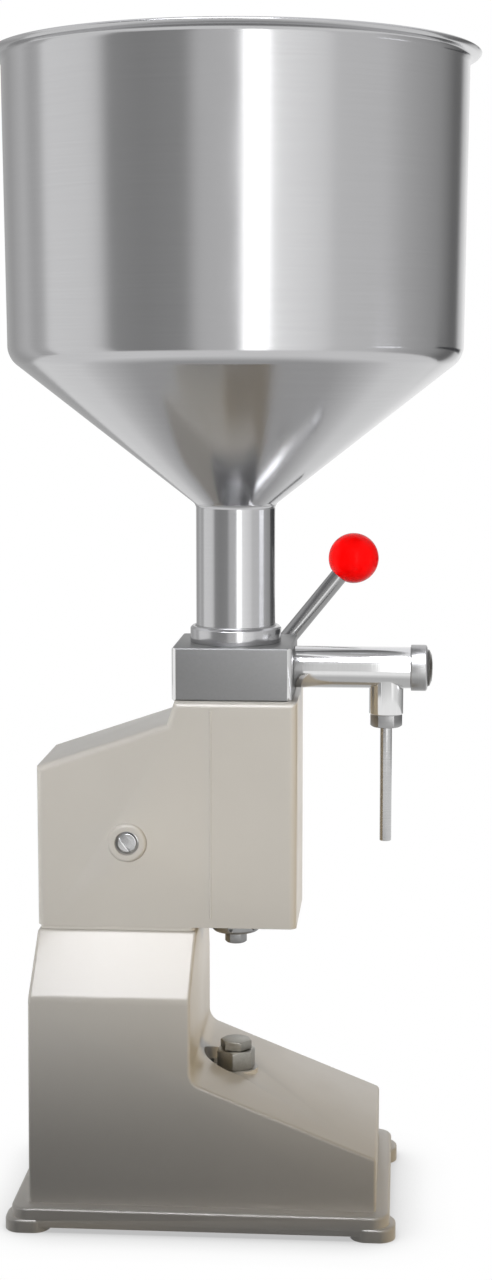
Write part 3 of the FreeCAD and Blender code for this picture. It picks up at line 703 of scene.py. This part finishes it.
def seam():
    bm = block(-14.3, -12.5, SEAM_FACE, -43.5, 204, 344)
    bevel_where(bm, lambda a, b: max(a.y, b.y) < SEAM_FACE + CLOSE, 0.45, 3)
    return bm


keep(seam(), "head_seam", cast_enamel, "stand", [])

# %% [markdown]
# ## Base casting
#
# Column, sloping foot and plate are one casting. The side view of the foot and column is
# extruded across. The top face of the column is then extruded once more and drawn in to make
# the tapered neck. The root of the slope gets the large fillet first, and then all other edges
# get the small radius that every sand casting has. Plate, corner feet and joint face are joined
# to it, and the hollow below is cut out. Last come the boss for the stop bolt inside, the recess
# above it and the hole through both.

# %% Base casting
COLUMN_BACK, COLUMN_FRONT = -131.8, -24.7
SLOPE_TOP, SHOULDER, NECK_TOP = 101, 156, 195.5
BASE_WIDTH, NECK_WIDTH = 148, 88
RECESS_FLOOR = 89
THREAD, THREAD_HOLE = 12, 12.1


def at_slope_root(point):
    return abs(point.x - COLUMN_FRONT) < CLOSE and abs(point.z - SLOPE_TOP) < CLOSE


def at_shoulder(point):
    return abs(point.z - SHOULDER) < CLOSE


def column_and_foot():
    bm = prism([(-133, 3.7), (98, 3.7), (98, 52), (COLUMN_FRONT, SLOPE_TOP),
                (COLUMN_FRONT, SHOULDER), (COLUMN_BACK, SHOULDER)],
               -BASE_WIDTH / 2, BASE_WIDTH / 2)
    top = [f for f in bm.faces if all(at_shoulder(v.co / MM) for v in f.verts)]
    grown = bmesh.ops.extrude_face_region(bm, geom=top)["geom"]
    bmesh.ops.delete(bm, geom=top, context="FACES_ONLY")
    neck = [g for g in grown if isinstance(g, bmesh.types.BMVert)]
    old_middle = Vector(((COLUMN_BACK + COLUMN_FRONT) / 2, 0, SHOULDER)) * MM
    new_middle = Vector((-76.2, 0, NECK_TOP)) * MM
    shrink = Matrix.Diagonal((106.6 / 107.1, NECK_WIDTH / BASE_WIDTH, 1, 1))
    draw_in = Matrix.Translation(new_middle) @ shrink @ Matrix.Translation(-old_middle)
    bmesh.ops.transform(bm, matrix=draw_in, verts=neck)
    bevel_where(bm, lambda a, b: at_slope_root(a) and at_slope_root(b), 7, 8)
    bevel_where(bm, lambda a, b: at_shoulder(a) and at_shoulder(b), 3, 4)
    bevel_sharp(bm, 2.2, 4, 30)
    return bm


def rounded_pad(x0, x1, y0, y1, z0, z1, corner, edge):
    """Box with rounded upright corners and a rounded edge round its top."""
    bm = block(x0, x1, y0, y1, z0, z1)
    bevel_where(bm, lambda a, b: abs(a.z - b.z) > 0.5, corner, 8)
    bevel_where(bm, lambda a, b: min(a.z, b.z) > z1 - CLOSE, edge, 3)
    return bm


def base():
    bm = column_and_foot()
    plate = rounded_pad(-144, 107, -85, 85, 3.7, 16.5, 12, 2.0)
    joint = rounded_pad(-128, -24.4, -42.5, 42.5, 193, 198, 4, 0.3)
    feet = [rounded_pad(x, x + 30, y, y + 30, 0, 9, 11, 2.2)
            for x in (-148, 81) for y in (-86, 56)]
    joined(bm, plate, joint, *feet)
    hollow = prism([(-125, -4), (90, -4), (90, 46.6), (-32.7, 95.6), (-32.7, 148),
                    (-123.8, 148)], -66, 66)
    neck = block(-121, -33, -35.5, 35.5, 140, 187.5)
    window = block(-102, -48, -30, 30, 180, 206)
    carve(bm, [hollow, neck, window])
    joined(bm, post(30, 53, 92, 64))
    return carve(bm, [post(44, RECESS_FLOOR, 130, 96), post(THREAD_HOLE, 40, 95)])


keep(base(), "base_cast", cast_enamel, "stand", ["base_casting"])

# %% [markdown]
# ## Stop bolt and lock nut
#
# The bolt is turned in its thread to set the stroke. Its shank shows when it stands high, so it
# has real thread grooves: a zigzag profile, spun. A rolled thread's helix can't be told from
# plain rings at this size, and rings are much cheaper.

# %% Stop bolt and lock nut
def threaded(outer, inner, z0, z1, pitch):
    """Round bar with a groove for each pitch of its thread."""
    count = int((z1 - z0) / pitch)
    profile = [(0, z0), (inner, z0)]
    for i in range(count):
        profile += [(outer, z0 + (i + 0.4) * pitch), (outer, z0 + (i + 0.6) * pitch),
                    (inner, z0 + (i + 1) * pitch)]
    return turned(profile + [(inner, z1), (0, z1)], 48)


def stop_bolt():
    bm = hexagon(19, 102.52, 108.5, turn=52)
    bevel_sharp(bm, 0.2, 2, 40)
    return joined(bm, threaded(THREAD, 10.4, 42.5, 103, 1.75))


def lock_nut():
    bm = hexagon(24, RECESS_FLOOR + 0.02, 101.98, 1.0, 1.0, 25)
    carve(bm, [post(THREAD_HOLE, 80, 110)])
    bevel_sharp(bm, 0.2, 2, 40)
    return bm


keep(stop_bolt(), "stop_bolt_hex", dark_steel, "stop_screw", ["stop_bolt"])
keep(lock_nut(), "lock_nut_hex", dark_steel, "stand", ["stop_lock_nut"])

# %% [markdown]
# ## Gland under the head
#
# The gland guides the rod where it leaves the head. It is screwed in with a hook spanner, whose
# pin fits the small holes round its side.

# %% Gland
def gland():
    bm = turned([(16.1, 186), (30, 186), (33, 187.5), (33, 198), (16.1, 198)], 96)
    round_rings(bm, [(30, 186, 0.5), (33, 187.5, 0.6)])
    holes = []
    for i in range(6):
        angle = math.radians(60 * i - 99)
        way = Vector((math.cos(angle), math.sin(angle), 0))
        holes.append(placed(post(3.6, 0, 5, 24), way * 13.5 + Z_AXIS * 190, way))
    return carve(bm, holes)


keep(gland(), "gland_turned", satin_steel, "stand", ["guide_gland"], 40)

# %% [markdown]
# ## Hand lever
#
# The lever is a drawn rod welded into a turned hub, and leans forward at 51 degrees. A red ball
# is screwed on its end. `create_uvsphere` makes the ball and a bisect cuts the flat where the
# rod enters. The ball is left out of reflections, so it puts no red spot on the steel.

# %% Lever
LEVER_LEAN = math.radians(51)
HUB_NEAR, HUB_FAR, HUB_SIZE = 48, 77, 30
SHAFT, SHAFT_STUD = 16, 12
LEVER_FOOT = PIVOT + Y_AXIS * (HUB_NEAR + HUB_FAR) / 2
LEVER_WAY = Vector((math.cos(LEVER_LEAN), 0, math.sin(LEVER_LEAN)))


def lever():
    bm = post(HUB_SIZE, HUB_NEAR, HUB_FAR, 96)
    round_rings(bm, [(HUB_SIZE, HUB_NEAR, 1.0), (HUB_SIZE, HUB_FAR, 1.0)])
    placed(bm, PIVOT, Y_AXIS)
    rod = turned([(0, 4), (19, 4), (19, 25), (17, 27), (12, 27), (12, 216.5), (10, 216.5),
                  (10, 236), (0, 236)], 64)
    round_rings(rod, [(12, 27, 0.8), (12, 216.5, 0.3)])
    joined(bm, placed(rod, LEVER_FOOT, LEVER_WAY))
    return carve(bm, [placed(post(SHAFT, 44, 82, 64), PIVOT, Y_AXIS)])


keep(lever(), "lever_turned", lever_steel, "lever", ["lever_arm"], 40)

# %% Ball knob
BALL_RADIUS, BALL_FLAT = 17.5, -16  # the flat lies below the ball's middle
BALL_REACH = 232.5                  # from the hub's middle to the ball's


def ball():
    bm = bmesh.new()
    bmesh.ops.create_uvsphere(bm, u_segments=64, v_segments=40, radius=BALL_RADIUS * MM)
    cut = bmesh.ops.bisect_plane(bm, geom=bm.verts[:] + bm.edges[:] + bm.faces[:],
                                 plane_co=(0, 0, BALL_FLAT * MM), plane_no=(0, 0, 1),
                                 clear_inner=True)["geom_cut"]
    bmesh.ops.contextual_create(bm, geom=[g for g in cut if isinstance(g, bmesh.types.BMEdge)])
    bevel_where(bm, lambda a, b: max(a.z, b.z) < BALL_FLAT + CLOSE, 0.4, 2)
    carve(bm, [post(10, -20, 4)])
    return placed(bm, LEVER_FOOT + LEVER_WAY * BALL_REACH, LEVER_WAY)


knob = keep(ball(), "ball_moulded", ball_red, "lever", ["ball_knob"], 50)
knob.visible_glossy = False

# %% [markdown]
# ## Lever shaft
#
# The near end of the shaft shows in its boss, stepped down and with a wide slot for a
# screwdriver. The far end carries the hub and a nut. The keys that lock hub and crank are copies
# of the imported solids, and so is the crank inside the head, with their edges broken.

# %% Shaft, nut, keys and crank
def shaft():
    bm = turned([(0, -46), (13, -46), (13, -43), (SHAFT, -43), (SHAFT, 76.5),
                 (SHAFT_STUD, 76.5), (SHAFT_STUD, 85), (0, 85)], 64)
    round_rings(bm, [(13, -46, 0.8), (SHAFT_STUD, 85, 0.6)])
    placed(bm, PIVOT, Y_AXIS)
    slot = block(-10, 10, -50, -43.9, -2.4, 2.4)
    tilt = Matrix.Translation(PIVOT * MM) @ Matrix.Rotation(math.radians(52), 4, "Y")
    bmesh.ops.transform(slot, matrix=tilt, verts=slot.verts)
    carve(bm, [slot])
    bevel_sharp(bm, 0.15, 2, 60)
    return bm


def shaft_nut():
    bm = hexagon(19, HUB_FAR, 85)
    carve(bm, [post(SHAFT_STUD, 70, 90)])
    bevel_sharp(bm, 0.2, 2, 40)
    return placed(bm, PIVOT, Y_AXIS)


keep(shaft(), "shaft_turned", shaft_steel, "lever", ["pivot_shaft"], 40)
keep(shaft_nut(), "shaft_nut_hex", satin_steel, "lever", ["shaft_nut"])
keep(softened("shaft_keys", 0.2), "keys_ground", plain_steel, "lever", ["shaft_keys"])
keep(softened("crank_arm", 0.4), "crank_milled", dark_steel, "lever", ["crank_arm"])

# %% [markdown]
# ## Plunger
#
# Rod, crosshead, nuts and piston move together. In the piston's groove lies a seal ring, which
# is a piece of its own so that it can have the finish of rubber.

# %% Plunger
ROD_SIZE, ROD_STUD, ROD_TIP = 16, 12, 8
ROD_END, ROD_STEP, ROD_TOP = 177.5, 185.7, 346
PISTON_SIZE, PISTON_FOOT, PISTON_TOP = 39.9, 327, 339.5


def rod():
    bm = turned([(0, ROD_END), (7, ROD_END), (ROD_TIP, 178.2), (ROD_TIP, ROD_STEP),
                 (ROD_SIZE, ROD_STEP), (ROD_SIZE, PISTON_FOOT), (ROD_STUD, PISTON_FOOT),
                 (ROD_STUD, ROD_TOP), (0, ROD_TOP)], 64)
    round_rings(bm, [(ROD_SIZE, ROD_STEP, 0.6), (ROD_STUD, ROD_TOP, 0.5)])
    return bm


def rod_nuts():
    bm = hexagon(19, PISTON_TOP + 0.02, ROD_TOP)
    carve(bm, [post(ROD_STUD, 330, 350)])
    low = hexagon(13, ROD_END, ROD_STEP - 0.02, 0.0, 1.0)
    carve(low, [post(ROD_TIP, 170, 190)])
    for nut in (bm, low):
        bevel_sharp(nut, 0.2, 2, 40)
    return joined(bm, low)


def piston():
    bm = turned([(ROD_STUD, PISTON_FOOT), (PISTON_SIZE, PISTON_FOOT), (PISTON_SIZE, 331.5),
                 (34, 331.5), (34, 335.5), (PISTON_SIZE, 335.5), (PISTON_SIZE, PISTON_TOP),
                 (ROD_STUD, PISTON_TOP)], 96)
    round_rings(bm, [(PISTON_SIZE, PISTON_FOOT, 0.6), (PISTON_SIZE, PISTON_TOP, 0.6)])
    return bm


keep(rod(), "rod_turned", rod_steel, "plunger", ["piston_rod"], 40)
keep(rod_nuts(), "rod_nuts_hex", plain_steel, "plunger", ["rod_nuts"])
keep(piston(), "piston_turned", valve_white, "plunger", ["piston"], 40)
keep(bead(36, 333.5, 3.8), "piston_seal_ring", rubber, "plunger", [], 60)
keep(softened("crosshead", 0.4), "crosshead_milled", bronze, "plunger", ["crosshead"])

# %% [markdown]
# ## Cylinder and valves
#
# These lie inside the block and the head. They show through the hopper's throat, from below, or
# when the machine is taken apart. The springs are wound from round wire: a circle is spun
# several turns while each step also lifts it a little, which is what dvec is for.

# %% Cylinder and valves
def cylinder():
    bm = turned([(40, 286), (50, 286), (50, 350), (40, 350)], 96)
    round_rings(bm, [(50, 286, 0.6), (40, 286, 0.6)])
    return bm


def inlet_valve():
    bm = turned([(0, 351.1), (6, 351.1), (6, 368.95), (30, 368.95), (30, 372.95), (0, 372.95)], 64)
    round_rings(bm, [(6, 351.1, 0.6), (30, 368.95, 0.6), (30, 372.95, 1.0)])
    return bm


def outlet_valve():
    bm = turned([(0, 76.05), (17, 76.05), (17, 80.05), (5, 80.05), (5, 112.05), (0, 112.05)], 64)
    round_rings(bm, [(17, 76.05, 1.0), (17, 80.05, 0.4), (5, 112.05, 0.5)])
    return along_x(bm)


WIRE = 1.2
STEPS_PER_TURN = 32


def spring(diameter, length, turns):
    """Coil of round wire about Z, from 0 to length."""
    bm = bmesh.new()
    place = Matrix.Translation(Vector((diameter - WIRE, 0, WIRE)) * MM / 2) @ Matrix.Rotation(
        math.radians(90), 4, "X")
    bmesh.ops.create_circle(bm, cap_ends=True, radius=WIRE / 2 * MM, segments=10, matrix=place)
    steps = int(turns * STEPS_PER_TURN)
    lift = (length - WIRE) * MM / steps
    bmesh.ops.spin(bm, geom=bm.verts[:] + bm.edges[:] + bm.faces[:], cent=(0, 0, 0),
                   axis=(0, 0, 1), angle=math.tau * turns, steps=steps, dvec=(0, 0, lift))
    bmesh.ops.recalc_face_normals(bm, faces=bm.faces)
    return bm


keep(cylinder(), "cylinder_honed", plain_steel, "stand", ["cylinder"], 40)
keep(inlet_valve(), "inlet_disc", valve_white, "inlet_valve", ["inlet_poppet"],
     40)
keep(outlet_valve(), "outlet_disc", valve_white, "outlet_valve", ["outlet_poppet"],
     40)
inlet_coil = keep(placed(spring(12, 16.45, 3.5), (0, 0, 352.5)), "inlet_coil", plain_steel,
                  "stand", ["inlet_spring"], 60)
outlet_coil = keep(along_x(spring(11, 29.95, 4.5), 80.05), "outlet_coil", plain_steel,
                   "stand", ["outlet_spring"], 60)
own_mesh(inlet_coil)
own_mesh(outlet_coil)
keep(softened("inlet_bridge", 0.2), "bridge_milled", plain_steel, "stand", ["inlet_bridge"])

# %% [markdown]
# ## Floor and surroundings
#
# The photo has a white ground with a thin soft shadow under the machine. The floor is a pale
# disc. For the camera it glows white, and an occlusion node darkens it
# where the machine hides the light, so only the soft shadow close to the feet shows. Reflected
# rays see an even glow that is weaker near the machine. For all other light it is a plain grey
# floor, so the castings stay darker towards the bottom.

# %% Floor
FLOOR_RADIUS = 1.3       # metres
SHADOW_REACH = 0.045     # metres from the machine over which the soft shadow fades


def switched(nodes, links, by, normal, special):
    """Mix of two shaders that shows the special one to the rays that by picks out."""
    mix = nodes.new("ShaderNodeMixShader")
    links.new(by, mix.inputs["Fac"])
    links.new(normal, mix.inputs[1])
    links.new(special, mix.inputs[2])
    return mix.outputs[0]


def floor_material():
    material, shader, nodes, links = new_material("white floor")
    shader.inputs["Roughness"].default_value = 0.9
    shader.inputs["Base Color"].default_value = grey(0.5)
    shade = add_node(nodes, "AmbientOcclusion", Distance=SHADOW_REACH)
    tone = add_node(nodes, "MapRange", From_Min=0.3, From_Max=0.98, To_Min=0.5, To_Max=1.0)
    links.new(shade.outputs["AO"], tone.inputs["Value"])
    glow = add_node(nodes, "Emission")
    links.new(tone.outputs["Result"], glow.inputs["Strength"])
    place = add_node(nodes, "TexCoord")
    away = add_node(nodes, "VectorMath", "LENGTH")
    links.new(place.outputs["Object"], away.inputs[0])
    # Painted shade: the glow that reflected rays see is dimmed within 0.6 m of the machine,
    # standing in for its shadow on the floor.
    level = add_node(nodes, "MapRange", From_Min=0.3, From_Max=0.6, To_Min=0.5, To_Max=0.95)
    links.new(away.outputs["Value"], level.inputs["Value"])
    reflection = add_node(nodes, "Emission")
    links.new(level.outputs["Result"], reflection.inputs["Strength"])
    rays = add_node(nodes, "LightPath").outputs
    lit = switched(nodes, links, rays["Is Glossy Ray"], shader.outputs[0], reflection.outputs[0])
    seen = switched(nodes, links, rays["Is Camera Ray"], lit, glow.outputs[0])
    links.new(seen, nodes["Material Output"].inputs["Surface"])
    return material


def floor():
    bm = bmesh.new()
    bmesh.ops.create_circle(bm, cap_ends=True, radius=FLOOR_RADIUS, segments=96)
    mesh = bpy.data.meshes.new("floor")
    bm.to_mesh(mesh)
    bm.free()
    mesh.materials.append(floor_material())
    piece = linked("floor", mesh)


floor()

# %% [markdown]
# The world is plain white for the camera. Polished steel shows what stands round it, so for
# reflected rays the world holds a room: a ramp over the compass direction gives upright bands,
# with one narrow bright strip right of the camera. High up they fade into an even ceiling.
# Windows are set into it: a large one high in front, which the tapered neck and the arm mirror,
# and a small one and a dark screen low on the right. For soft light on painted faces the world
# is an even grey. Directions are in degrees: 0 is the camera's side of the room, 90 its right.

# %% Studio world
BANDS = [(-180, 1.0), (-165, 0.5), (-140, 0.45), (-122, 0.7), (-112, 0.55), (-105, 0.62),
         (-100, 1.0), (-72, 0.95), (-65, 0.85), (-58, 0.38), (-40, 0.34), (-20, 0.38),
         (-13, 0.7), (4, 0.72), (7, 0.8), (8.5, 2.6), (19.5, 2.6), (21.5, 1.25), (34, 1.15),
         (48, 1.0), (54, 0.82), (80, 0.78), (95, 0.6), (122, 0.42), (138, 0.2), (147, 0.18),
         (153, 0.7), (165, 1.0), (180, 1.0)]  # direction and brightness
# Direction and half width, height and half height as the sine of the elevation, brightness
WINDOWS = [(-8.0, 34.0, 0.8, 0.18, 11.0), (85.5, 8.0, -0.145, 0.017, 2.2),
           (142.0, 18.0, -0.09, 0.035, 0.07)]
SOFT_LIGHT = 0.23


def compared(nodes, links, value, middle, half):
    """1 where a value is within half of the middle, else 0."""
    node = add_node(nodes, "Math", "COMPARE")
    node.inputs[1].default_value = middle
    node.inputs[2].default_value = half
    links.new(value, node.inputs[0])
    return node.outputs[0]


def with_window(nodes, links, light, turn, rise, window):
    """The light of the room with one window set into it."""
    direction, half_width, height, half_height, strength = window
    inside = add_node(nodes, "Math", "MULTIPLY")
    links.new(compared(nodes, links, turn, math.radians(direction), math.radians(half_width)),
              inside.inputs[0])
    links.new(compared(nodes, links, rise, height, half_height), inside.inputs[1])
    mix = colour_mix(nodes)
    mix.inputs["B"].default_value = (strength, strength * 1.01, strength * 1.06, 1)
    links.new(inside.outputs[0], mix.inputs["Factor"])
    links.new(light, mix.inputs["A"])
    return mix.outputs["Result"]


def studio_world():
    world = bpy.data.worlds.new("studio")
    bpy.context.scene.world = world
    world.use_nodes = True
    nodes, links = world.node_tree.nodes, world.node_tree.links
    nodes.clear()
    where = add_node(nodes, "TexCoord")
    parts = add_node(nodes, "SeparateXYZ")
    links.new(where.outputs["Generated"], parts.inputs[0])
    depth = add_node(nodes, "Math", "MULTIPLY")
    depth.inputs[1].default_value = -1.0
    links.new(parts.outputs["Y"], depth.inputs[0])
    turn = add_node(nodes, "Math", "ARCTAN2")
    links.new(parts.outputs["X"], turn.inputs[0])
    links.new(depth.outputs[0], turn.inputs[1])
    share = add_node(nodes, "MapRange", From_Min=-math.pi, From_Max=math.pi)
    links.new(turn.outputs[0], share.inputs["Value"])
    ramp = add_node(nodes, "ValToRGB")
    links.new(share.outputs["Result"], ramp.inputs["Fac"])
    elements = ramp.color_ramp.elements
    elements.remove(elements[0])
    for i, (degrees, level) in enumerate(BANDS):
        position = (degrees + 180) / 360
        element = elements.new(position) if i else elements[0]
        element.position = position
        element.color = (level, level, level, 1)
    height = add_node(nodes, "MapRange", From_Min=0.3, From_Max=0.75)
    height.interpolation_type = "SMOOTHSTEP"
    links.new(parts.outputs["Z"], height.inputs["Value"])
    ceiling = colour_mix(nodes)
    ceiling.inputs["B"].default_value = (0.9, 0.9, 0.92, 1)
    links.new(height.outputs["Result"], ceiling.inputs["Factor"])
    links.new(ramp.outputs["Color"], ceiling.inputs["A"])
    light = ceiling.outputs["Result"]
    for window in WINDOWS:
        light = with_window(nodes, links, light, turn.outputs[0], parts.outputs["Z"], window)
    room = add_node(nodes, "Background")
    links.new(light, room.inputs["Color"])
    soft = add_node(nodes, "Background", Color=(1, 1, 1, 1), Strength=SOFT_LIGHT)
    white = add_node(nodes, "Background", Color=(1, 1, 1, 1))
    rays = add_node(nodes, "LightPath").outputs
    lit = switched(nodes, links, rays["Is Glossy Ray"], soft.outputs[0], room.outputs[0])
    seen = switched(nodes, links, rays["Is Camera Ray"], lit, white.outputs[0])
    links.new(seen, add_node(nodes, "OutputWorld").inputs["Surface"])


studio_world()

# %% [markdown]
# ## Lights and camera
#
# A large panel in front has a narrow beam, so it lights the head evenly and fades out over the
# foot. A low warm panel on the right warms the faces that turn that way. Two plain panels light
# the back and the left side. None of them shows in reflections, because the world's bands and
# windows do that work. The camera stands where the photo was taken: the machine's right side
# just shows.

# %% Lights and camera
PLAIN, WARM = (1, 0.99, 0.97), (1, 0.78, 0.45)
# Name, place, aim and size in metres, power in watts, colour, spread in degrees
PANELS = [
    ("front panel", (-0.33, -1.25, 0.72), (-0.03, 0, 0.37), (0.9, 0.5), 1.18, PLAIN, 12),
    ("warm side panel", (1.6, -0.1, 0.12), (0, 0, 0.14), (0.6, 0.5), 1.9, WARM, 60),
    ("back panel", (-0.2, 1.6, 0.35), (-0.05, 0, 0.25), (0.6, 0.5), 1.5, PLAIN, 60),
    ("left panel", (-1.6, 0.35, 0.3), (0, 0, 0.22), (0.6, 0.5), 1.2, PLAIN, 60)]
CAMERA_PLACE = (0.1139, -1.4405, 0.5715)
CAMERA_DOWN, CAMERA_TURN = 7.33, 4.25  # degrees below level, and to the left
CAMERA_LENS = 60.85


def panel(name, place, aim, size, power, tint, spread):
    data = bpy.data.lights.new(name, "AREA")
    data.shape = "RECTANGLE"
    data.size, data.size_y = size
    data.energy = power
    data.color = tint
    data.spread = math.radians(spread)
    lamp = linked(name, data)
    lamp.location = place
    lamp.rotation_euler = (Vector(aim) - Vector(place)).to_track_quat("-Z", "Y").to_euler()
    lamp.visible_glossy = False


for settings in PANELS:
    panel(*settings)

camera_data = bpy.data.cameras.new("camera")
camera_data.lens = CAMERA_LENS
camera_data.sensor_width = 36
camera = linked("camera", camera_data)
camera.location = CAMERA_PLACE
camera.rotation_euler = (math.radians(90 - CAMERA_DOWN), 0, math.radians(CAMERA_TURN))
bpy.context.scene.camera = camera
bpy.context.scene.view_settings.view_transform = "Standard"
